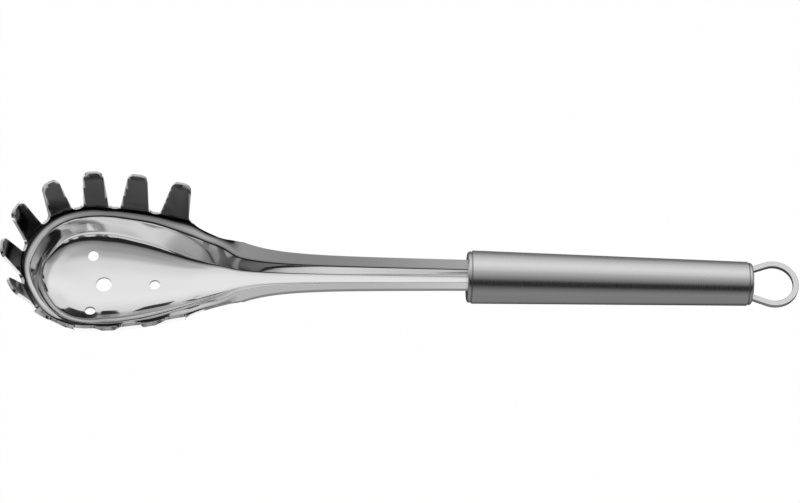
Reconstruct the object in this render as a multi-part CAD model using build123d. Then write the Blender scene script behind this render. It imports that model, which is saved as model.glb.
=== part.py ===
"""Pasta server in stainless steel: pressed scoop head on a tapered tube handle with a hanging loop.

X runs along the tool, from the tines (negative) to the hanging loop (positive). Y runs across it.
Z is up. The tool lies as it rests on a table, on the scoop's underside and on the handle's rear end,
and the origin is on the table under the middle of the tool's length. The functions below first work
from the large drain hole's middle, and the finished pieces are moved to the origin at the end.
"""
from build123d import *
import os
from math import asin, atan2, cos, degrees, exp, hypot, pi, radians, sin, sqrt

# Sheet head
sheet = 1.2                     # thickness of the pressed sheet
scoop_reach = 28.6              # rim ahead of the large hole, on the centre line
scoop_half_width = 24.4         # rim beside the large hole
rim_height = 14.1               # upper skin at the rim, beside the large hole
rest_flat_depth = 0.15          # how much of the underside is flattened where it rests
shoulder_length = 18.95         # from the last gap to the neck
neck_length = 92.0              # from the end of the shoulders to the handle
neck_half_width = 6.6           # channel edge at the handle
neck_floor_half_width = 1.45    # channel floor at the handle
neck_floor_height = 9.1         # upper skin of the channel floor
neck_edge_height = 14.1         # upper skin at the channel's edges
tang_length = 12.0              # how far the channel runs on inside the handle

# Tines
tine_pitch_angle = 13.6         # degrees from a tine's middle to the next gap's, round the front
tine_half_pitch = 8.1           # the same along the straight sides
first_side_gap = 4.0            # first gap behind the large hole
tine_rise = 16.3                # from the lip to the tips
tine_spread = 7.0               # how far the tips lean out from the lip
tine_spare = 1.0                # sheet past the tips, which the gaps' cutters trim
gap_floor_width = 4.4
gap_top_width = 10.4
gap_corner = 2.0
tip_corner = 3.1
trimmed_share = 0.62            # how far a gap's cutter trims the tips, of the way to the next gap
first_gap_lean = 1.0            # how far a gap's top leans toward the handle
second_gap_lean = 3.0
last_gap_lean = 4.7

# Drain holes
main_hole = 6.5
small_hole = 4.4
rear_hole_offset = 20.7
side_hole_back = -4.9
side_hole_offset = 13.1
side_hole_tilt = 14.0           # degrees, square to the dished floor

# Handle
handle_length = 111.7
handle_front_radius = 10.8
handle_rear_radius = 8.95
handle_wall = 0.8
handle_front_height = 11.65     # axis above the table at the front

# End caps
cap_sheet = 1.0
cap_stand = 2.1                 # how far a cap stands out of the tube
cap_inset = 0.35                # cap edge inside the tube's outline
cap_edge_radius = 1.3
cap_spigot = 6.0
seam_width = 0.7
seam_inset = 0.5                # bottom of the groove under the tube's outline

# Hanging loop
loop_outer_radius = 10.2
loop_bar_width = 2.4
loop_bar_thickness = 2.0
loop_reach = 19.2               # from the cap's face to the loop's far end
loop_leg_offset = 7.5           # outer side of a leg where it leaves the cap
loop_leg_inside = 4.0
loop_bar_edge = 0.3

weld_radius = 0.9
overrun = 2.0                   # how far cutters reach past what they cut

# Each station of the head lists its half section, from the middle outwards, as shares.
# reach shares are of scoop_half_width, or of scoop_reach round the front
# height shares are of rim_height
# columns: floor edge, rim, lip edge, tip
front_reach_shares = [
    (0.895, 1.000, 1.115, 1.339),
    (0.880, 0.978, 1.105, 1.337),
    (0.850, 0.958, 1.082, 1.330),
    (0.825, 0.945, 1.070, 1.302),
    (0.790, 0.922, 1.048, 1.268),
    (0.745, 0.885, 1.010, 1.243),
    (0.705, 0.856, 0.978, 1.222),
]
front_height_shares = [
    (0.380, 1.165, 1.291),
    (0.375, 1.150, 1.277),
    (0.368, 1.120, 1.248),
    (0.360, 1.070, 1.199),
    (0.353, 1.035, 1.160),
    (0.347, 1.012, 1.135),
    (0.344, 1.000, 1.122),
]
# columns: floor edge, rim, lip edge, tip spread share
side_reach_shares = [
    (0.800, 0.996, 1.122, 1.00),
    (0.787, 0.988, 1.119, 1.00),
    (0.725, 0.941, 1.086, 1.00),
    (0.635, 0.883, 1.033, 1.00),
    (0.525, 0.775, 0.955, 1.00),
    (0.405, 0.656, 0.869, 1.00),
    (0.335, 0.582, 0.754, 0.60),
    (0.256, 0.492, 0.652, 0.25),
]
# columns: floor middle above its lowest place, floor edge, rim, lip edge, tine height
side_height_shares = [
    (0.000, 0.344, 0.995, 1.115, 1.00),
    (0.000, 0.343, 0.990, 1.115, 1.00),
    (0.003, 0.322, 0.985, 1.117, 1.00),
    (0.011, 0.300, 0.978, 1.114, 1.00),
    (0.045, 0.285, 0.972, 1.110, 1.00),
    (0.115, 0.295, 0.955, 1.085, 1.00),
    (0.200, 0.340, 0.920, 1.020, 0.60),
    (0.310, 0.415, 0.860, 0.980, 0.20),
]
# places of the stations between the last gap and the neck, of the shoulder's length
shoulder_place_shares = [0.26, 0.60]
# neck: how much wider or lower the channel is at its start, first evenly and then as a flare
floor_even_share = 0.55         # of the channel floor's half width
floor_flare_share = 1.14
edge_even_share = 0.20          # of neck_half_width
edge_flare_share = 0.92
floor_drop_share = 0.077        # of neck_floor_height
floor_dip_share = 0.165
flare_length_share = 0.145      # of the neck's length
floor_flare_length_share = 0.095
dip_length_share = 0.115
# rim of the channel's side, at the handle and what is added toward the shoulders
rim_reach_shares = (0.25, 0.13)
rim_height_shares = (0.71, -0.11)
neck_station_count = 11
neck_crowding = 1.6             # how much the neck's stations crowd toward the shoulders
floor_flat_share = 0.10         # flat middle of the floor, of the floor's half width
dish_share = 0.55               # where the dished floor turns up
bend_shares = (0.90, 0.34, 0.20, 0.42)      # bends, of the shorter straight beside each
bend_room_share = 0.95          # how much of a straight two bends may take together
floor_bulge_share = 0.03        # how far the channel's floor has risen at its edge, of its depth
side_places = [0] + [first_side_gap + step * tine_half_pitch for step in range(5)]
side_places += [side_places[-1] + share * shoulder_length for share in shoulder_place_shares]
shoulder_end = first_side_gap + 4 * tine_half_pitch + shoulder_length
neck_end = shoulder_end + neck_length

# gaps behind the large hole: station, and how far the gap's top leans toward the handle
side_gaps = [(1, first_gap_lean), (3, second_gap_lean), (5, last_gap_lean)]
# plan of the cut edge from the last gap to the neck, as shares of scoop_half_width
shoulder_shares = [(1.418, 0.918), (1.557, 0.803), (1.783, 0.693), (2.029, 0.605), (2.340, 0.545)]
corner_steps = 6                # straights in a cap's rounded edge


def front_station(index):
    """Half section of one radial station round the front: points (reach, height) of the upper skin."""
    floor, rim, lip, tip = [share * scoop_reach for share in front_reach_shares[index]]
    floor_z, rim_z, lip_z = [share * rim_height for share in front_height_shares[index]]
    middle_z = sheet - rest_flat_depth
    return [(floor * floor_flat_share, middle_z), (floor * dish_share, middle_z), (floor, floor_z),
            (rim, rim_z), (lip, lip_z), (tip, lip_z + tine_rise)]


def side_station(index):
    """Half section square to the tool's length, beside and behind the large hole."""
    floor, rim, lip, spread = side_reach_shares[index]
    middle_z, floor_z, rim_z, lip_z, rise = side_height_shares[index]
    width = scoop_half_width
    middle = sheet - rest_flat_depth + middle_z * rim_height
    points = [(floor * width * floor_flat_share, middle),
              (floor * width * dish_share, middle),
              (floor * width, floor_z * rim_height), (rim * width, rim_z * rim_height),
              (lip * width, lip_z * rim_height),
              (lip * width + spread * tine_spread, lip_z * rim_height + rise * tine_rise)]
    return side_places[index], points


def neck_station(place):
    """Half section of the open channel, place from 0 at the shoulders to 1 at the handle."""
    flare = exp(-place / flare_length_share)
    floor_flare = exp(-place / floor_flare_length_share)
    dip = exp(-place / dip_length_share)
    left = 1 - place
    floor = neck_floor_half_width * (1 + floor_even_share * left + floor_flare_share * floor_flare)
    floor_z = neck_floor_height * (1 - floor_drop_share * left - floor_dip_share * dip)
    edge = neck_half_width * (1 + edge_even_share * left + edge_flare_share * flare)
    edge_z = neck_edge_height
    width = edge - floor
    depth = edge_z - floor_z
    rim = (floor + width * (rim_reach_shares[0] + rim_reach_shares[1] * left),
           floor_z + depth * (rim_height_shares[0] + rim_height_shares[1] * left))
    lip = ((rim[0] + edge) / 2, (rim[1] + edge_z) / 2)
    points = [(floor * floor_flat_share, floor_z), (floor * dish_share, floor_z),
              (floor, floor_z + depth * floor_bulge_share), rim, lip, (edge, edge_z)]
    return shoulder_end + neck_length * place, points


def spared(points):
    """The section with some sheet to spare past the tips."""
    tip = toward(points[-1], points[-2], -tine_spare)
    return points[:-1] + [tip]


def offset_line(points, distance):
    """The same corner points, moved outwards and down by one distance from every straight."""
    directions = []
    for (r0, z0), (r1, z1) in zip(points, points[1:]):
        run = hypot(r1 - r0, z1 - z0)
        directions.append(((r1 - r0) / run, (z1 - z0) / run))
    moved = []
    for index, (reach, height) in enumerate(points):
        before = directions[max(index - 1, 0)]
        after = directions[min(index, len(directions) - 1)]
        normal = (before[1] + after[1], -before[0] - after[0])
        size = hypot(*normal)
        half_turn = (before[0] * after[0] + before[1] * after[1] + 1) / 2
        step = distance / size / sqrt(half_turn)
        moved.append((reach + normal[0] * step, height + normal[1] * step))
    return moved


def rounded_runs(points):
    """Straights and bends of one skin, as lists of two or three points each."""
    lengths = [hypot(b[0] - a[0], b[1] - a[1]) for a, b in zip(points, points[1:])]
    runs = []
    start = points[0]
    for index, share in enumerate(bend_shares, start=1):
        before, corner, after = points[index - 1:index + 2]
        size_in = lengths[index - 1] * share / (1 if index == 1 else 2)
        size_out = lengths[index] * share / 2
        if index > 1:
            size_in = size_out = min(size_in, size_out) * 2 * bend_room_share
        leave = toward(corner, before, size_in)
        land = toward(corner, after, size_out)
        runs.append([start, leave])
        runs.append([leave, corner, land])
        start = land
    runs.append([start, points[-1]])
    return runs


def toward(start, end, distance):
    """Point at a distance from start on the way to end."""
    share = distance / hypot(end[0] - start[0], end[1] - start[1])
    return (start[0] + (end[0] - start[0]) * share, start[1] + (end[1] - start[1]) * share)


def skin_edges(runs, place):
    """Edges of one skin; place turns (reach, height) into a point in space."""
    edges = []
    for run in runs:
        corners = [place(*point) for point in run]
        edges.append(Edge.make_line(*corners) if len(corners) == 2 else Edge.make_bezier(*corners))
    return edges


def radial_place(angle):
    """Placing function for a radial plane, angle in degrees from the front."""
    return lambda reach, height: Vector(-reach * cos(radians(angle)), reach * sin(radians(angle)), height)


def cross_place(x, side):
    """Placing function for a plane square to the tool's length."""
    return lambda reach, height: Vector(x, side * reach, height)


def half_section(points, place):
    """Closed strip of sheet from the middle of the floor to the tip, for the front fan."""
    upper = rounded_runs(points)
    lower = rounded_runs(offset_line(points, sheet))
    inner = Edge.make_line(place(*points[0]), place(*lower[0][0]))
    outer = Edge.make_line(place(*points[-1]), place(*lower[-1][-1]))
    return Wire(skin_edges(upper, place) + [outer] + skin_edges(lower, place) + [inner])


def full_section(points, x):
    """Closed strip of sheet from tip to tip across the tool."""
    upper = rounded_runs(points)
    lower = rounded_runs(offset_line(points, sheet))
    edges = []
    for side in (1, -1):
        place = cross_place(x, side)
        edges += skin_edges(upper, place) + skin_edges(lower, place)
        edges.append(Edge.make_line(place(*points[-1]), place(*lower[-1][-1])))
    for start in (upper[0][0], lower[0][0]):
        edges.append(Edge.make_line(cross_place(x, 1)(*start), cross_place(x, -1)(*start)))
    return Wire(edges)


def make_head():
    stations = []
    for index in range(len(side_reach_shares)):
        x, points = side_station(index)
        stations.append((x, spared(points)))
    for step in range(neck_station_count):
        stations.append(neck_station((step / (neck_station_count - 1)) ** neck_crowding))
    last_points = stations[-1][1]
    stations.append((neck_end + tang_length, last_points))
    rear = Solid.make_loft([full_section(points, x) for x, points in stations])
    fan = [(90.0, stations[0][1])]
    for index in reversed(range(len(front_reach_shares))):
        fan.append((fan_angle(index), spared(front_station(index))))
    fan += [(-angle, points) for angle, points in reversed(fan[:-1])]
    front = Solid.make_loft([half_section(points, radial_place(angle)) for angle, points in fan])
    head = rear + front
    head -= Pos(0, 0, -rim_height / 2) * Box(4 * neck_end, 4 * scoop_half_width, rim_height)
    for cutter in drain_holes() + tine_gaps() + shoulder_cuts():
        head -= cutter
    return head


def fan_angle(index):
    """Angle of a front station, from the front tine's middle."""
    return index * tine_pitch_angle


def drain_holes():
    depth = 2 * rim_height
    cutters = [Cylinder(main_hole / 2, depth), Pos(rear_hole_offset, 0, 0) * Cylinder(small_hole / 2, depth)]
    for side in (1, -1):
        place = Pos(side_hole_back, side * side_hole_offset, 0) * Rot(side * side_hole_tilt, 0, 0)
        cutters.append(place * Cylinder(small_hole / 2, depth))
    return cutters


def gap_places(side):
    """Root, leaned tip and direction toward the handle of each gap on one side, from the front."""
    places = []
    for index in range(1, len(front_reach_shares), 2):
        angle = fan_angle(index)
        place = radial_place(side * angle)
        points = front_station(index)
        along = Vector(sin(radians(angle)), side * cos(radians(angle)), 0)
        places.append((place(*points[-2]), place(*points[-1]), along))
    along = Vector(1, 0, 0)
    for index, lean in side_gaps:
        x, points = side_station(index)
        place = cross_place(x, side)
        places.append((place(*points[-2]), place(*points[-1]) + along * lean, along))
    return places


def gap_cutter(root, tip, along, beside):
    """Cutter for one gap, whose arms trim the tines toward the tips of the two gaps beside it."""
    lean = (tip - root).dot(along)
    up = tip - root - along * lean
    length = up.length
    square = along.cross(up).normalized()
    top = gap_top_width / 2
    floor = gap_floor_width / 2
    halves = []
    for side, neighbour in zip((-1, 1), beside):
        chord = neighbour - tip
        run = abs(chord.dot(along))
        slope = chord.dot(up.normalized()) / run
        arm = run * trimmed_share
        halves.append([(side * floor, 0), (lean + side * top, length + slope * top),
                       (lean + side * arm, length + slope * arm), (lean + side * arm, length + 2 * overrun)])
    face = make_face(Polyline(*halves[0][::-1], *halves[1], close=True))
    for half in halves:
        for corner, radius in zip(half, (gap_corner, tip_corner)):
            face = fillet(face.vertices().sort_by_distance(Vector(*corner))[0], radius)
    block = extrude(face, amount=tine_spread - overrun, both=True)
    return Plane(origin=root, x_dir=along, z_dir=square).location * block


def tine_gaps():
    cutters = []
    for side in (1, -1):
        places = gap_places(side)
        tips = [tip for _, tip, _ in [gap_places(-side)[0]] + places]
        tips.append(tips[-1] + places[-1][2] * 2 * tine_half_pitch)
        for index, (root, tip, along) in enumerate(places):
            cutters.append(gap_cutter(root, tip, along, (tips[index], tips[index + 2])))
    return cutters


def shoulder_cuts():
    """Upright cutters that bring the lip behind the last tines down to the neck's edge."""
    curve = [Vector(x * scoop_half_width, y * scoop_half_width) for x, y in shoulder_shares]
    far = 3 * scoop_half_width
    edge = Spline(*curve)
    rest = Polyline(curve[-1], (curve[-1].X, far), (curve[0].X + far / 4, far), curve[0])
    block = extrude(make_face(edge + rest), amount=2 * (rim_height + tine_rise))
    return [block, mirror(block, Plane.XZ)]


def radius_at(depth):
    """Outer radius of the tube at a depth behind its front end."""
    return handle_front_radius + (handle_rear_radius - handle_front_radius) * depth / handle_length


def turned(points):
    """Solid turned about the handle's axis from a closed outline of (depth, radius) points."""
    return revolve(make_face(Polyline(*points, close=True)), Axis.X)


def make_handle_tube():
    ends = [(0, radius_at(0)), (handle_length, radius_at(handle_length))]
    inner = [(depth, radius - handle_wall) for depth, radius in reversed(ends)]
    return front_frame * turned(ends + inner)


def cap_body(end_radius, taper):
    """Drawn cap with a spigot: depth 0 is the tube's end, and the cap stands out to negative depths."""
    edge = end_radius - cap_inset
    bore = end_radius - handle_wall
    deep_bore = bore + taper * cap_spigot
    face = -cap_stand
    back = -seam_width
    step = bore + taper * back
    corner = [(face, edge - cap_edge_radius)]
    for turn in range(1, corner_steps + 1):
        angle = radians(90 * turn / corner_steps)
        corner.append((face + cap_edge_radius * (1 - cos(angle)), edge - cap_edge_radius * (1 - sin(angle))))
    return turned([(face, 0)] + corner + [(back, edge), (back, step), (cap_spigot, deep_bore),
                  (cap_spigot, deep_bore - cap_sheet), (face + cap_sheet, step - cap_sheet), (face + cap_sheet, 0)])


def seam_ring(end_radius, taper):
    """Weld in the groove between a cap and the tube's end."""
    bore = end_radius - handle_wall
    crown = end_radius - seam_inset
    return turned([(-seam_width, bore - taper * seam_width), (-seam_width, crown), (0, crown), (0, bore)])


def make_loop():
    """Bent bar in the handle's middle plane: depth 0 is the tube's rear end."""
    bar_radius = loop_outer_radius - loop_bar_width / 2
    centre = cap_stand + loop_reach - loop_outer_radius
    leg = Vector(cap_stand, loop_leg_offset - loop_bar_width / 2)
    away = leg - Vector(centre, 0)
    angle = degrees(atan2(away.Y, away.X)) - degrees(pi / 2 - asin(bar_radius / away.length))
    touch = Vector(centre + bar_radius * cos(radians(angle)), bar_radius * sin(radians(angle)))
    start = leg - (touch - leg).normalized() * loop_leg_inside
    path = Polyline(start, touch) + ThreePointArc(touch, (centre + bar_radius, 0), (touch.X, -touch.Y))
    path += Polyline((touch.X, -touch.Y), (start.X, -start.Y))
    section = Plane(origin=start, z_dir=touch - leg, x_dir=(0, 0, 1)) * RectangleRounded(
        loop_bar_thickness, loop_bar_width, loop_bar_edge)
    return rear_outward_frame * sweep(section, path=path)


def make_neck_weld(head, front_cap):
    """Bead under the channel where it passes through the front cap's inner face."""
    points = neck_station(1)[1]
    near = offset_line(points, sheet / 2)[2:-1]
    away = offset_line(points, sheet + weld_radius)[2:-1]
    line = near + away[::-1]
    x = neck_end + cap_sheet - weld_radius / 4
    bead = Part()
    for side in (1, -1):
        outline = Polyline(*[(x, side * reach, height) for reach, height in line], close=True)
        bead += Solid.extrude(Face(outline), Vector(weld_radius, 0, 0))
    return bead - head - front_cap


def make_loop_weld(loop, rear_cap):
    """Collars on the loop's legs at the rear cap's inner face."""
    collars = Part()
    for side in (1, -1):
        place = Pos(cap_stand - cap_sheet - weld_radius / 2, side * (loop_leg_offset - loop_bar_width), 0)
        collars += place * Rot(0, 90, 0) * Cylinder(loop_bar_width / 2 + weld_radius, weld_radius)
    return rear_outward_frame * collars - loop - rear_cap


def make_frames():
    """Places along the handle's axis: into the tube from its front, and out of and into its rear."""
    tilt = atan2(handle_front_height - handle_rear_radius, handle_length)
    along = Vector(cos(tilt), 0, -sin(tilt))
    up = Vector(sin(tilt), 0, cos(tilt))
    front_point = Vector(neck_end + cap_stand, 0, handle_front_height)
    rear_point = front_point + along * handle_length
    front = Plane(origin=front_point, x_dir=along, z_dir=up)
    return front.location, Plane(rear_point, along, up).location, Plane(rear_point, -along, up).location


def make_pieces():
    taper = (handle_rear_radius - handle_front_radius) / handle_length
    head = make_head()
    loop = make_loop()
    front_cap = front_frame * cap_body(handle_front_radius, taper) - head
    rear_cap = rear_inward_frame * cap_body(handle_rear_radius, -taper) - loop
    return {
        "head": head,
        "handle_tube": make_handle_tube(),
        "front_cap": front_cap,
        "rear_cap": rear_cap,
        "hanging_loop": loop,
        "front_seam_weld": front_frame * seam_ring(handle_front_radius, taper),
        "rear_seam_weld": rear_inward_frame * seam_ring(handle_rear_radius, -taper),
        "neck_weld": make_neck_weld(head, front_cap),
        "loop_weld": make_loop_weld(loop, rear_cap),
    }


front_frame, rear_outward_frame, rear_inward_frame = make_frames()
pieces = make_pieces()
ends = [pieces[name].bounding_box() for name in ("head", "hanging_loop")]
middle = (ends[0].min.X + ends[1].max.X) / 2
os.makedirs("parts", exist_ok=True)
for name, piece in pieces.items():
    placed = Pos(-middle, 0, 0) * piece
    placed.label = name
    export_step(placed, os.path.join("parts", name + ".step"))
print("the large hole's middle is at X", round(-middle, 4))
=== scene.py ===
"""Studio picture of the pasta server: polished scoop head, satin tube handle, on a plain white floor.

Metres, in the row frame: +X from the tines to the hanging loop, +Y away from the camera, +Z up.
"""
from math import cos, exp, hypot, pi, radians, sin, sqrt, tan

import bmesh
import bpy
from mathutils import Matrix, Vector


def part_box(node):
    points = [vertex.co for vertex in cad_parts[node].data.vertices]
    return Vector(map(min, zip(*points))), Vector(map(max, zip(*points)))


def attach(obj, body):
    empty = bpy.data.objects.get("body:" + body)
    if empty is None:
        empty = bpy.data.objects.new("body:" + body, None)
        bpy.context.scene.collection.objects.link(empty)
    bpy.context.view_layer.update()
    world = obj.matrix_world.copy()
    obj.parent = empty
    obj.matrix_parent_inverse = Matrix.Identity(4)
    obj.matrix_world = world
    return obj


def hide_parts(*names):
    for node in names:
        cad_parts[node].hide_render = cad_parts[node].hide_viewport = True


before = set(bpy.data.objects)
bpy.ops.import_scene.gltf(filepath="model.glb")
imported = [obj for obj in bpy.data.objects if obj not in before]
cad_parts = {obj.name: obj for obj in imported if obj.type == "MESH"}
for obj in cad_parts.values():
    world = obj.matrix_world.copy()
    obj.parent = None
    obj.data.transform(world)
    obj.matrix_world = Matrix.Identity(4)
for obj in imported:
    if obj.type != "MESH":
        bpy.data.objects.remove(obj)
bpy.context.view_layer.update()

# Camera: where it aims, from where, and how far
aim_from_hole = Vector((0.12034, 0.01221, 0.010))       # aim point, from the large drain hole's middle
view_azimuth = -1.69
view_elevation = 61.63
view_roll = 2.26
view_distance = 1.25
lens_mm = 138.2
nearest_seen = 0.05

# Studio: brightness by angle in the plane across the tool. Degrees are from straight up, and minus is the
# camera's side.
studio_levels = [(-180, 0.10), (-110, 0.28), (-84, 0.24), (-71, 0.15), (-63, 0.02), (-43, 0.02),
                 (-30, 0.26), (-5, 0.50), (12, 0.80), (34, 0.95), (58, 0.80), (80, 0.55), (105, 0.50),
                 (125, 0.12), (180, 0.10)]
side_bright_reach = 0.50        # how far the studio stays bright toward the tool's ends
side_dark_reach = 0.72
side_dark_level = 0.60
floor_size = 6.0
floor_albedo = 0.80
floor_white_share = 0.996       # the rest is lit, so a faint shadow stays

# Floor as the metal shows it: Y, and brightness there. The darker bands under the head and the handle are
# painted shadow, and the front is darker too
floor_levels_head = [(-0.10, 0.20), (-0.07, 0.20), (-0.045, 1.0), (-0.016, 1.0), (-0.012, 0.30),
                     (0.02, 0.30), (0.035, 1.0), (0.10, 1.0)]
floor_levels_handle = [(-0.10, 0.29), (-0.016, 0.27), (-0.008, 0.06), (0.012, 0.06), (0.02, 0.16),
                       (0.10, 0.30)]
floor_level_reach = 0.10        # the levels cover Y from minus this to plus this
head_end = -0.075               # X between the two lists

# Head: the pressed sheet's section, as the solid has it
sheet = 0.0012
scoop_reach = 0.0286
scoop_half_width = 0.0244
rim_height = 0.0141
rest_flat_depth = 0.00015
shoulder_length = 0.01895
neck_length = 0.092
neck_half_width = 0.0066
neck_floor_half_width = 0.00145
neck_floor_height = 0.0091
neck_edge_height = 0.0141
tang_length = 0.012
tine_pitch_angle = 13.6
tine_half_pitch = 0.0081
first_side_gap = 0.004
tine_rise = 0.0163
tine_spread = 0.007
tine_spare = 0.001              # sheet past the tips, which the gaps' cutters trim
gap_floor_width = 0.0044
gap_top_width = 0.0104
gap_corner = 0.002
tip_corner = 0.0031
trimmed_share = 0.62            # how far a gap's cutter trims the tips, of the way to the next gap
side_gap_leans = [(1, 0.001), (3, 0.003), (5, 0.0047)]      # station, and lean toward the handle
overrun = 0.002
main_hole = 0.0065
small_hole = 0.0044
rear_hole_offset = 0.0207
side_hole_back = -0.0049
side_hole_offset = 0.0131
side_hole_tilt = 14.0

# columns: floor edge, rim, lip edge, tip, as shares of scoop_reach
front_reach_shares = [
    (0.895, 1.000, 1.115, 1.339),
    (0.880, 0.978, 1.105, 1.337),
    (0.850, 0.958, 1.082, 1.330),
    (0.825, 0.945, 1.070, 1.302),
    (0.790, 0.922, 1.048, 1.268),
    (0.745, 0.885, 1.010, 1.243),
    (0.705, 0.856, 0.978, 1.222),
]
front_height_shares = [
    (0.380, 1.165, 1.291),
    (0.375, 1.150, 1.277),
    (0.368, 1.120, 1.248),
    (0.360, 1.070, 1.199),
    (0.353, 1.035, 1.160),
    (0.347, 1.012, 1.135),
    (0.344, 1.000, 1.122),
]
# columns: floor edge, rim, lip edge, as shares of scoop_half_width, and tip spread
side_reach_shares = [
    (0.800, 0.996, 1.122, 1.00),
    (0.787, 0.988, 1.119, 1.00),
    (0.725, 0.941, 1.086, 1.00),
    (0.635, 0.883, 1.033, 1.00),
    (0.525, 0.775, 0.955, 1.00),
    (0.405, 0.656, 0.869, 1.00),
    (0.335, 0.582, 0.754, 0.60),
    (0.256, 0.492, 0.652, 0.25),
]
# columns: floor middle above its lowest place, floor edge, rim, lip edge, tine height
side_height_shares = [
    (0.000, 0.344, 0.995, 1.115, 1.00),
    (0.000, 0.343, 0.990, 1.115, 1.00),
    (0.003, 0.322, 0.985, 1.117, 1.00),
    (0.011, 0.300, 0.978, 1.114, 1.00),
    (0.045, 0.285, 0.972, 1.110, 1.00),
    (0.115, 0.295, 0.955, 1.085, 1.00),
    (0.200, 0.340, 0.920, 1.020, 0.60),
    (0.310, 0.415, 0.860, 0.980, 0.20),
]
shoulder_place_shares = [0.26, 0.60]
shoulder_shares = [(1.418, 0.918), (1.557, 0.803), (1.783, 0.693), (2.029, 0.605), (2.340, 0.545)]
floor_even_share = 0.55
floor_flare_share = 1.14
edge_even_share = 0.20
edge_flare_share = 0.92
floor_drop_share = 0.077
floor_dip_share = 0.165
flare_length_share = 0.145
floor_flare_length_share = 0.095
dip_length_share = 0.115
rim_reach_shares = (0.25, 0.13)
rim_height_shares = (0.71, -0.11)
floor_flat_share = 0.10
dish_share = 0.55
floor_bulge_share = 0.03
bend_shares = (0.90, 0.34, 0.20, 0.42)
bend_room_share = 0.95

# Head mesh: how finely the section and the outlines are divided
row_length = 0.0011
fan_rows = 96
straight_steps = (1, 3, 2, 2, 10)
bend_steps = (14, 6, 5, 7)
corner_steps = 8
circle_steps = 64
crease_angle = 40.0
merge_distance = 0.000001
guide_count = 2                 # front sections repeated past the middle, to steer the blend there
neck_guides = (0, 0.05, 0.1)    # places on the neck that steer the blend into it
painted_shade_on_tines_strength = 0.97          # painted shade: how far the lip and the tines' inner faces are darkened from the bowl's steel, in place of their dark reflections
painted_shade_tip_lift = 0.12                 # how much of that painted shade is gone at their tips
painted_shade_start_y = -0.032         # Y where the painted shade starts
painted_shade_full_y = -0.012          # and where it is full
painted_shade_fade_length = shoulder_length / 2      # ahead of the neck, over which it ends


# Finishes: brightness, roughness, grain lines per metre along each axis, grain depth, roughness spread
finishes = {
    "polished_steel": (0.82, 0.07, (300, 300, 300), 0.000001, 0.02),
    "satin_steel": (0.72, 0.24, (9000, 60, 60), 0.000002, 0.05),
    "cap_steel": (0.74, 0.20, (4000, 4000, 4000), 0.000001, 0.04),
    "loop_steel": (0.74, 0.30, (5000, 5000, 5000), 0.000002, 0.05),
    "weld_steel": (0.40, 0.40, (3000, 3000, 3000), 0.00001, 0.05),
}
node_finishes = {
    "handle_tube": "satin_steel",
    "front_cap": "cap_steel",
    "rear_cap": "cap_steel",
    "hanging_loop": "loop_steel",
    "front_seam_weld": "weld_steel",
    "rear_seam_weld": "weld_steel",
    "neck_weld": "weld_steel",
    "loop_weld": "weld_steel",
}
grain_range = (0.3, 0.7)        # of the noise, which spreads the roughness


def new_tree(owner):
    owner.use_nodes = True
    tree = owner.node_tree
    tree.nodes.clear()
    return tree


def add(tree, kind, **values):
    """A shader node with its settings and constant inputs set by name."""
    node = tree.nodes.new(kind)
    for name, value in values.items():
        if hasattr(node, name):
            setattr(node, name, value)
        else:
            node.inputs[name.replace("_", " ")].default_value = value
    return node


def math_node(tree, operation, first, second=0.0):
    node = tree.nodes.new("ShaderNodeMath")
    node.operation = operation
    for socket, value in zip(node.inputs, (first, second)):
        if isinstance(value, (int, float)):
            socket.default_value = value
        else:
            tree.links.new(value, socket)
    return node.outputs[0]


def gray(level):
    return (level, level, level, 1.0)


def level_ramp(tree, value, reach, levels):
    """Gray that follows a list of (place, brightness), for a value from -reach to reach."""
    share = math_node(tree, "MULTIPLY_ADD", value, 1 / (2 * reach))
    share.node.inputs[2].default_value = 1 / 2
    ramp = add(tree, "ShaderNodeValToRGB")
    ramp.color_ramp.interpolation = "EASE"
    stops = ramp.color_ramp.elements
    while len(stops) < len(levels):
        stops.new(1 / 2)
    for stop, (place, level) in zip(stops, levels):
        stop.position = (place / reach + 1) / 2
        stop.color = gray(level)
    tree.links.new(share, ramp.inputs[0])
    return ramp.outputs[0]


def make_world():
    """White behind the object, and a soft studio with a dark front in what the metal reflects."""
    world = bpy.data.worlds.new("studio")
    bpy.context.scene.world = world
    tree = new_tree(world)
    place = add(tree, "ShaderNodeTexCoord")
    parts = add(tree, "ShaderNodeSeparateXYZ")
    tree.links.new(place.outputs["Generated"], parts.inputs[0])
    angle = math_node(tree, "ARCTAN2", parts.outputs["Y"], parts.outputs["Z"])
    bands = [(radians(degrees_up), level) for degrees_up, level in studio_levels]
    levels = level_ramp(tree, angle, pi, bands)
    sideways = math_node(tree, "ABSOLUTE", parts.outputs["X"])
    fade = add(tree, "ShaderNodeMapRange")
    fade.interpolation_type = "SMOOTHSTEP"
    for name, value in (("From Min", side_bright_reach), ("From Max", side_dark_reach), ("To Min", 1.0),
                        ("To Max", side_dark_level)):
        fade.inputs[name].default_value = value
    tree.links.new(sideways, fade.inputs["Value"])
    studio = add(tree, "ShaderNodeBackground")
    tree.links.new(levels, studio.inputs["Color"])
    tree.links.new(fade.outputs[0], studio.inputs["Strength"])
    white = add(tree, "ShaderNodeBackground", Color=gray(1.0), Strength=1.0)
    path = add(tree, "ShaderNodeLightPath")
    mix = add(tree, "ShaderNodeMixShader")
    seen = math_node(tree, "MAXIMUM", path.outputs["Is Camera Ray"], path.outputs["Is Transmission Ray"])
    tree.links.new(seen, mix.inputs[0])
    tree.links.new(studio.outputs[0], mix.inputs[1])
    tree.links.new(white.outputs[0], mix.inputs[2])
    out = add(tree, "ShaderNodeOutputWorld")
    tree.links.new(mix.outputs[0], out.inputs["Surface"])


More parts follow.
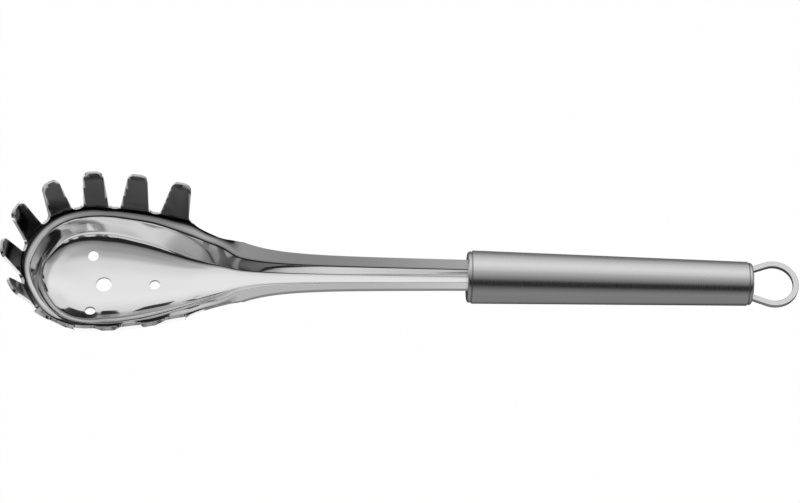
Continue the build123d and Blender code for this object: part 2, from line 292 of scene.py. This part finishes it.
def make_floor():
    """White floor with a faint shadow. Metal mirrors its own brightness there, by place, with painted
    shadow under the object.
    """
    mesh = bpy.data.meshes.new("floor")
    half = floor_size / 2
    corners = [(-half, -half, 0), (half, -half, 0), (half, half, 0), (-half, half, 0)]
    mesh.from_pydata(corners, [], [range(len(corners))])
    floor = bpy.data.objects.new("floor", mesh)
    bpy.context.scene.collection.objects.link(floor)
    material = bpy.data.materials.new("floor_white")
    tree = new_tree(material)
    paint = add(tree, "ShaderNodeBsdfDiffuse", Color=gray(floor_albedo))
    white = add(tree, "ShaderNodeEmission", Color=gray(1.0), Strength=1.0)
    path = add(tree, "ShaderNodeLightPath")
    seen = math_node(tree, "MAXIMUM", path.outputs["Is Camera Ray"], path.outputs["Is Transmission Ray"])
    white_seen = math_node(tree, "MULTIPLY", seen, floor_white_share)
    mix_seen = add(tree, "ShaderNodeMixShader")
    tree.links.new(white_seen, mix_seen.inputs[0])
    tree.links.new(paint.outputs[0], mix_seen.inputs[1])
    tree.links.new(white.outputs[0], mix_seen.inputs[2])
    place = add(tree, "ShaderNodeTexCoord")
    parts = add(tree, "ShaderNodeSeparateXYZ")
    tree.links.new(place.outputs["Object"], parts.inputs[0])
    grays = [level_ramp(tree, parts.outputs["Y"], floor_level_reach, levels)
             for levels in (floor_levels_head, floor_levels_handle)]
    choice = add(tree, "ShaderNodeMixRGB")
    tree.links.new(math_node(tree, "GREATER_THAN", parts.outputs["X"], head_end), choice.inputs["Fac"])
    tree.links.new(grays[0], choice.inputs["Color1"])
    tree.links.new(grays[1], choice.inputs["Color2"])
    mirrored = add(tree, "ShaderNodeEmission", Strength=1.0)
    tree.links.new(choice.outputs[0], mirrored.inputs["Color"])
    mix_mirrored = add(tree, "ShaderNodeMixShader")
    tree.links.new(path.outputs["Is Glossy Ray"], mix_mirrored.inputs[0])
    tree.links.new(mix_seen.outputs[0], mix_mirrored.inputs[1])
    tree.links.new(mirrored.outputs[0], mix_mirrored.inputs[2])
    out = add(tree, "ShaderNodeOutputMaterial")
    tree.links.new(mix_mirrored.outputs[0], out.inputs["Surface"])
    mesh.materials.append(material)


def make_camera():
    azimuth, elevation, roll = [radians(angle) for angle in (view_azimuth, view_elevation, view_roll)]
    back = Vector((sin(azimuth) * cos(elevation), -cos(azimuth) * cos(elevation), sin(elevation)))
    right = Vector((cos(azimuth), sin(azimuth), 0))
    up = back.cross(right)
    right, up = cos(roll) * right + sin(roll) * up, cos(roll) * up - sin(roll) * right
    data = bpy.data.cameras.new("camera")
    camera = bpy.data.objects.new("camera", data)
    bpy.context.scene.collection.objects.link(camera)
    turned = Matrix((right, up, back)).transposed().to_4x4()
    place = Vector((hole_x, 0, 0)) + aim_from_hole + back * view_distance
    camera.matrix_world = Matrix.Translation(place) @ turned
    data.lens = lens_mm
    data.clip_start = nearest_seen
    bpy.context.scene.camera = camera


def steel(name, painted_shade_amount=0.0):
    """Stainless steel with fine directional grain. When given an amount, the mesh's mask darkens it with
    painted shade.
    """
    level, roughness, grain_scale, grain_depth, rough_spread = finishes[name]
    material = bpy.data.materials.new(name)
    tree = new_tree(material)
    shader = add(tree, "ShaderNodeBsdfPrincipled", Metallic=1.0)
    shader.inputs["Base Color"].default_value = gray(level)
    if painted_shade_amount:
        # Painted shade: the mask darkens the steel on the far lip and the tines' inner faces
        shade_reader = add(tree, "ShaderNodeAttribute", attribute_name="painted_shade_mask")
        shaded = add(tree, "ShaderNodeMixRGB")
        shaded.inputs["Color1"].default_value = gray(level)
        shaded.inputs["Color2"].default_value = gray(level * (1 - painted_shade_amount))
        tree.links.new(shade_reader.outputs["Fac"], shaded.inputs["Fac"])
        tree.links.new(shaded.outputs[0], shader.inputs["Base Color"])
    place = add(tree, "ShaderNodeTexCoord")
    stretch = add(tree, "ShaderNodeMapping", Scale=grain_scale)
    tree.links.new(place.outputs["Object"], stretch.inputs["Vector"])
    grain = add(tree, "ShaderNodeTexNoise", Scale=1.0, Detail=3.0, Roughness=0.6)
    tree.links.new(stretch.outputs[0], grain.inputs["Vector"])
    spread = add(tree, "ShaderNodeMapRange")
    spread.inputs["From Min"].default_value = grain_range[0]
    spread.inputs["From Max"].default_value = grain_range[1]
    spread.inputs["To Min"].default_value = roughness - rough_spread
    spread.inputs["To Max"].default_value = roughness + rough_spread
    tree.links.new(grain.outputs["Fac"], spread.inputs["Value"])
    tree.links.new(spread.outputs[0], shader.inputs["Roughness"])
    bump = add(tree, "ShaderNodeBump", Strength=1.0, Distance=grain_depth)
    tree.links.new(grain.outputs["Fac"], bump.inputs["Height"])
    tree.links.new(bump.outputs[0], shader.inputs["Normal"])
    out = add(tree, "ShaderNodeOutputMaterial")
    tree.links.new(shader.outputs[0], out.inputs["Surface"])
    return material


side_places = [0] + [first_side_gap + step * tine_half_pitch for step in range(5)]
side_places += [side_places[-1] + share * shoulder_length for share in shoulder_place_shares]
shoulder_end = first_side_gap + 4 * tine_half_pitch + shoulder_length
neck_end = shoulder_end + neck_length
fan_radius = tine_half_pitch / radians(tine_pitch_angle)
hole_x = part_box("head")[1][0] - neck_end - tang_length      # the large drain hole's middle


def front_points(index):
    floor, rim, lip, tip = [share * scoop_reach for share in front_reach_shares[index]]
    floor_z, rim_z, lip_z = [share * rim_height for share in front_height_shares[index]]
    middle = sheet - rest_flat_depth
    return [(floor * floor_flat_share, middle), (floor * dish_share, middle), (floor, floor_z),
            (rim, rim_z), (lip, lip_z), (tip, lip_z + tine_rise)]


def spared(points):
    """The section with some sheet to spare past the tips."""
    lip, tip = [Vector(point) for point in points[-2:]]
    return points[:-1] + [tuple(tip + (tip - lip).normalized() * tine_spare)]


def side_points(index):
    *reaches, spread = side_reach_shares[index]
    *heights, rise = side_height_shares[index]
    floor, rim, lip = [share * scoop_half_width for share in reaches]
    middle, floor_z, rim_z, lip_z = [share * rim_height for share in heights]
    middle += sheet - rest_flat_depth
    return [(floor * floor_flat_share, middle), (floor * dish_share, middle), (floor, floor_z),
            (rim, rim_z), (lip, lip_z), (lip + spread * tine_spread, lip_z + rise * tine_rise)]


def neck_points(place):
    flare = exp(-place / flare_length_share)
    floor_flare = exp(-place / floor_flare_length_share)
    dip = exp(-place / dip_length_share)
    left = 1 - place
    floor = neck_floor_half_width * (1 + floor_even_share * left + floor_flare_share * floor_flare)
    floor_z = neck_floor_height * (1 - floor_drop_share * left - floor_dip_share * dip)
    edge = neck_half_width * (1 + edge_even_share * left + edge_flare_share * flare)
    edge_z = neck_edge_height
    width = edge - floor
    depth = edge_z - floor_z
    rim = (floor + width * (rim_reach_shares[0] + rim_reach_shares[1] * left),
           floor_z + depth * (rim_height_shares[0] + rim_height_shares[1] * left))
    lip = ((rim[0] + edge) / 2, (rim[1] + edge_z) / 2)
    return [(floor * floor_flat_share, floor_z), (floor * dish_share, floor_z),
            (floor, floor_z + depth * floor_bulge_share), rim, lip, (edge, edge_z)]


def head_stations():
    """Half sections in order: minus places go round the front, plus places are X behind the large hole."""
    count = len(front_reach_shares)
    stations = []
    for index in range(-guide_count, count):
        angle = index * tine_pitch_angle
        stations.append((fan_radius * radians(angle - 90), spared(front_points(abs(index)))))
    for index, place in enumerate(side_places):
        stations.append((place, spared(side_points(index))))
    stations += [(shoulder_end + neck_length * place, neck_points(place)) for place in neck_guides]
    return stations


def blend_row(rows, places, at):
    """Smooth value at a place between rows of numbers, through four neighbours."""
    index = max(1, min(len(places) - 3, sum(place <= at for place in places) - 1))
    p0, p1, p2, p3 = places[index - 1:index + 3]
    v0, v1, v2, v3 = rows[index - 1:index + 3]
    span = p2 - p1
    share = (at - p1) / span
    values = []
    for a, b, c, d in zip(v0, v1, v2, v3):
        slope_in = ((b - a) / (p1 - p0) * span + (c - b) / span * (p1 - p0)) / (p2 - p0) * span
        slope_out = ((c - b) / span * (p3 - p2) + (d - c) / (p3 - p2) * span) / (p3 - p1) * span
        values.append(b * (1 - 3 * share ** 2 + 2 * share ** 3) + c * (3 * share ** 2 - 2 * share ** 3)
                      + slope_in * share * (1 - share) ** 2 - slope_out * share ** 2 * (1 - share))
    return values


def section_at(stations, place):
    if place >= shoulder_end:
        return neck_points(min(1, (place - shoulder_end) / neck_length))
    rows = [[value for point in points for value in point] for _, points in stations]
    values = blend_row(rows, [at for at, _ in stations], place)
    return list(zip(values[::2], values[1::2]))


def offset_line(points, distance):
    """The same corner points, moved outwards and down by one distance from every straight."""
    directions = []
    for (r0, z0), (r1, z1) in zip(points, points[1:]):
        run = hypot(r1 - r0, z1 - z0)
        directions.append(((r1 - r0) / run, (z1 - z0) / run))
    moved = []
    for index, (reach, height) in enumerate(points):
        before = directions[max(index - 1, 0)]
        after = directions[min(index, len(directions) - 1)]
        normal = (before[1] + after[1], -before[0] - after[0])
        half_turn = (before[0] * after[0] + before[1] * after[1] + 1) / 2
        step = distance / hypot(*normal) / sqrt(half_turn)
        moved.append((reach + normal[0] * step, height + normal[1] * step))
    return moved


def mix(start, end, share):
    return (start[0] + (end[0] - start[0]) * share, start[1] + (end[1] - start[1]) * share)


def skin_line(points):
    """Finely divided line of one skin, with its bends rounded."""
    lengths = [hypot(b[0] - a[0], b[1] - a[1]) for a, b in zip(points, points[1:])]
    line = []
    start = points[0]
    for index, share in enumerate(bend_shares, start=1):
        before, corner, after = points[index - 1:index + 2]
        size_in = lengths[index - 1] * share
        size_out = lengths[index] * share / 2
        if index > 1:
            size_in = size_out = min(size_in / 2, size_out) * 2 * bend_room_share
        leave = mix(corner, before, size_in / lengths[index - 1])
        land = mix(corner, after, size_out / lengths[index])
        steps = straight_steps[index - 1]
        line += [mix(start, leave, step / steps) for step in range(steps)]
        steps = bend_steps[index - 1]
        line += [mix(mix(leave, corner, step / steps), mix(corner, land, step / steps), step / steps)
                 for step in range(steps)]
        start = land
    steps = straight_steps[-1]
    line += [mix(start, points[-1], step / steps) for step in range(steps + 1)]
    return line


def round_place(angle, reach, height):
    """Point in the radial plane at an angle from the front."""
    return Vector((hole_x - reach * cos(angle), reach * sin(angle), height))


def head_sheet():
    """Closed mesh of the whole pressed sheet before its holes and gaps are cut."""
    stations = head_stations()
    mesh = bmesh.new()
    # Painted shade for the far lip and the tines' inner faces, kept as a value on each corner
    shade = mesh.verts.layers.float.new("painted_shade_mask")
    tine_columns = straight_steps[-1] + bend_steps[-1] + straight_steps[-2]

    def row(place, skin, position):
        points = section_at(stations, place)
        line = skin_line(points if skin == 0 else offset_line(points, sheet))
        corners = [mesh.verts.new(position(reach, max(0, height))) for reach, height in line]
        fade = min(1, max(0, (shoulder_end - place) / painted_shade_fade_length))
        if skin == 0 and fade:
            # Painted shade: full from the lip up the far tines, less at the tips, none on the near side,
            # ending ahead of the neck
            for step, corner in enumerate(corners[-tine_columns:]):
                far_share = (corner.co.y - painted_shade_start_y) / (painted_shade_full_y - painted_shade_start_y)
                level = min(1, step / straight_steps[-2]) - painted_shade_tip_lift * step / tine_columns
                corner[shade] = level * fade * min(1, max(0, far_share))
        return corners

    def strip(first, second):
        for a, b, c, d in zip(first, first[1:], second[1:], second):
            mesh.faces.new((a, b, c, d))

    fan = []
    for step in range(fan_rows + 1):
        angle = pi * (step / fan_rows - 0.5)
        place = -fan_radius * (pi / 2 - abs(angle))
        fan.append([row(place, skin, lambda r, z: round_place(angle, r, z)) for skin in (0, 1)])
    for (upper, lower), (next_upper, next_lower) in zip(fan, fan[1:]):
        strip(upper, next_upper)
        strip(next_lower, lower)
        mesh.faces.new((upper[0], next_upper[0], next_lower[0], lower[0]))
        mesh.faces.new((upper[-1], lower[-1], next_lower[-1], next_upper[-1]))
    length = neck_end + tang_length
    rows = int(length / row_length)
    rear = []
    for step in range(rows + 1):
        place = length * step / rows
        skins = []
        for skin in (0, 1):
            near = row(place, skin, lambda r, z: Vector((hole_x + place, -r, z)))
            skins.append(near[::-1] + row(place, skin, lambda r, z: Vector((hole_x + place, r, z))))
        rear.append(skins)
    for (upper, lower), (next_upper, next_lower) in zip(rear, rear[1:]):
        strip(next_upper, upper)
        strip(lower, next_lower)
        mesh.faces.new((upper[0], next_upper[0], next_lower[0], lower[0]))
        mesh.faces.new((upper[-1], lower[-1], next_lower[-1], next_upper[-1]))
    strip(rear[-1][1], rear[-1][0])
    middle = len(rear[0][0]) // 2
    strip(rear[0][0][middle - 1:middle + 1], rear[0][1][middle - 1:middle + 1])
    bmesh.ops.remove_doubles(mesh, verts=mesh.verts, dist=merge_distance)
    bmesh.ops.recalc_face_normals(mesh, faces=mesh.faces)
    return mesh


def add_prism(mesh, outline, depth):
    """Closed block from an outline in space to the same outline moved by depth."""
    first = [mesh.verts.new(point) for point in outline]
    second = [mesh.verts.new(point + depth) for point in outline]
    mesh.faces.new(first)
    mesh.faces.new(second[::-1])
    for index in range(len(first)):
        after = (index + 1) % len(first)
        mesh.faces.new((first[index], second[index], second[after], first[after]))


def rounded_corner(before, corner, after, radius):
    """Points of the arc that rounds one corner of a flat outline."""
    before, corner, after = Vector(before), Vector(corner), Vector(after)
    to_before = (before - corner).normalized()
    to_after = (after - corner).normalized()
    half = to_before.angle(to_after) / 2
    centre = corner + (to_before + to_after).normalized() * radius / sin(half)
    start = corner + to_before * radius / tan(half) - centre
    end = corner + to_after * radius / tan(half) - centre
    sweep = start.angle_signed(end)
    points = []
    for step in range(corner_steps + 1):
        turned = start.copy()
        turned.rotate(Matrix.Rotation(-sweep * step / corner_steps, 2))
        points.append(centre + turned)
    return points


def add_gap(mesh, root, tip, along, beside):
    """Cutter for one gap, whose arms trim the tines toward the tips of the two gaps beside it."""
    lean = (tip - root).dot(along)
    up = tip - root - along * lean
    length = up.length
    up.normalize()
    square = along.cross(up).normalized()
    outline = []
    for side, neighbour in zip((-1, 1), beside):
        chord = neighbour - tip
        run = abs(chord.dot(along))
        slope = chord.dot(up) / run
        top, arm = gap_top_width / 2, run * trimmed_share
        floor = gap_floor_width / 2
        corners = [(-side * floor, 0), (side * floor, 0), (lean + side * top, length + slope * top),
                   (lean + side * arm, length + slope * arm)]
        half = rounded_corner(*corners[:3], gap_corner) + rounded_corner(*corners[1:], tip_corner)
        half += [Vector(corners[3]), Vector((corners[3][0], length + 2 * overrun))]
        outline += half[::-1] if side < 0 else half
    reach = tine_spread - overrun
    add_prism(mesh, [root + along * x + up * y - square * reach for x, y in outline], square * 2 * reach)


def add_hole(mesh, place, radius, tilt=0.0):
    turn = Matrix.Rotation(tilt, 3, "X")
    depth = turn @ Vector((0, 0, 2 * rim_height))
    outline = []
    for step in range(circle_steps):
        angle = 2 * pi * step / circle_steps
        outline.append(place + turn @ Vector((radius * cos(angle), radius * sin(angle), 0)) - depth / 2)
    add_prism(mesh, outline, depth)


def add_shoulder(mesh, side):
    """Upright block that trims the lip behind the last tines down to the neck's edge."""
    curve = [(x * scoop_half_width, y * scoop_half_width) for x, y in shoulder_shares]
    places = list(range(len(curve)))
    ends = [(2 * curve[0][0] - curve[1][0], 2 * curve[0][1] - curve[1][1]),
            (2 * curve[-1][0] - curve[-2][0], 2 * curve[-1][1] - curve[-2][1])]
    rows = [ends[0]] + curve + [ends[1]]
    steps = corner_steps * (len(curve) - 1)
    row_places = [-1] + places + [len(curve)]
    edge = [blend_row(rows, row_places, places[-1] * step / steps) for step in range(steps + 1)]
    far = 3 * scoop_half_width
    edge += [(curve[-1][0], far), (curve[0][0] + far / 4, far)]
    base = -rim_height
    add_prism(mesh, [Vector((hole_x + x, side * y, base)) for x, y in edge],
              Vector((0, 0, 2 * (rim_height + tine_rise) - base)))


def gap_places(side):
    """Root, leaned tip and direction toward the handle of each gap on one side, from the front."""
    places = []
    for index in range(1, len(front_reach_shares), 2):
        angle = radians(index * tine_pitch_angle)
        root, tip = [round_place(side * angle, *point) for point in front_points(index)[-2:]]
        places.append((root, tip, Vector((sin(angle), side * cos(angle), 0))))
    for index, lean in side_gap_leans:
        x = hole_x + side_places[index]
        root, tip = [Vector((x, side * reach, height)) for reach, height in side_points(index)[-2:]]
        places.append((root, tip + Vector((lean, 0, 0)), Vector((1, 0, 0))))
    return places


def cutter_meshes():
    """Cutters in groups whose blocks don't overlap."""
    groups = [bmesh.new() for _ in range(3)]
    for side in (1, -1):
        places = gap_places(side)
        tips = [tip for _, tip, _ in [gap_places(-side)[0]] + places]
        tips.append(tips[-1] + Vector((2 * tine_half_pitch, 0, 0)))
        for index, (root, tip, along) in enumerate(places):
            add_gap(groups[(index + (side < 0)) % 2], root, tip, along, (tips[index], tips[index + 2]))
    add_hole(groups[2], Vector((hole_x, 0, 0)), main_hole / 2)
    add_hole(groups[2], Vector((hole_x + rear_hole_offset, 0, 0)), small_hole / 2)
    for side in (1, -1):
        place = Vector((hole_x + side_hole_back, side * side_hole_offset, 0))
        add_hole(groups[2], place, small_hole / 2, side * radians(side_hole_tilt))
        add_shoulder(groups[2], side)
    return groups


def new_object(name, source):
    data = bpy.data.meshes.new(name)
    bmesh.ops.recalc_face_normals(source, faces=source.faces)
    source.to_mesh(data)
    source.free()
    piece = bpy.data.objects.new(name, data)
    bpy.context.scene.collection.objects.link(piece)
    return piece


def make_head(material):
    """Pressed scoop and neck, finely divided so that its reflections run smoothly."""
    piece = new_object("scoop_head", head_sheet())
    cutters = [new_object("cutter", group) for group in cutter_meshes()]
    for cutter in cutters:
        cut = piece.modifiers.new("cut", "BOOLEAN")
        cut.operation = "DIFFERENCE"
        cut.solver = "EXACT"
        cut.object = cutter
    graph = bpy.context.evaluated_depsgraph_get()
    finished = bpy.data.meshes.new_from_object(piece.evaluated_get(graph))
    piece.modifiers.clear()
    piece.data = finished
    for cutter in cutters:
        bpy.data.objects.remove(cutter)
    finished.shade_smooth()
    finished.set_sharp_from_angle(angle=radians(crease_angle))
    finished.materials.clear()
    finished.materials.append(material)
    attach(piece, "root")
    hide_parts("head")


def dress(node, material):
    """Gives a CAD node its finish."""
    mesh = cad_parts[node].data
    mesh.materials.clear()
    mesh.materials.append(material)


make_world()
make_floor()
make_camera()
# The polished steel of the head carries the painted shade on the far lip and tines
metals = {name: steel(name, painted_shade_on_tines_strength if name == "polished_steel" else 0.0) for name in finishes}
make_head(metals["polished_steel"])
for node, name in node_finishes.items():
    dress(node, metals[name])

scene = bpy.context.scene
scene.view_settings.view_transform = "Standard"
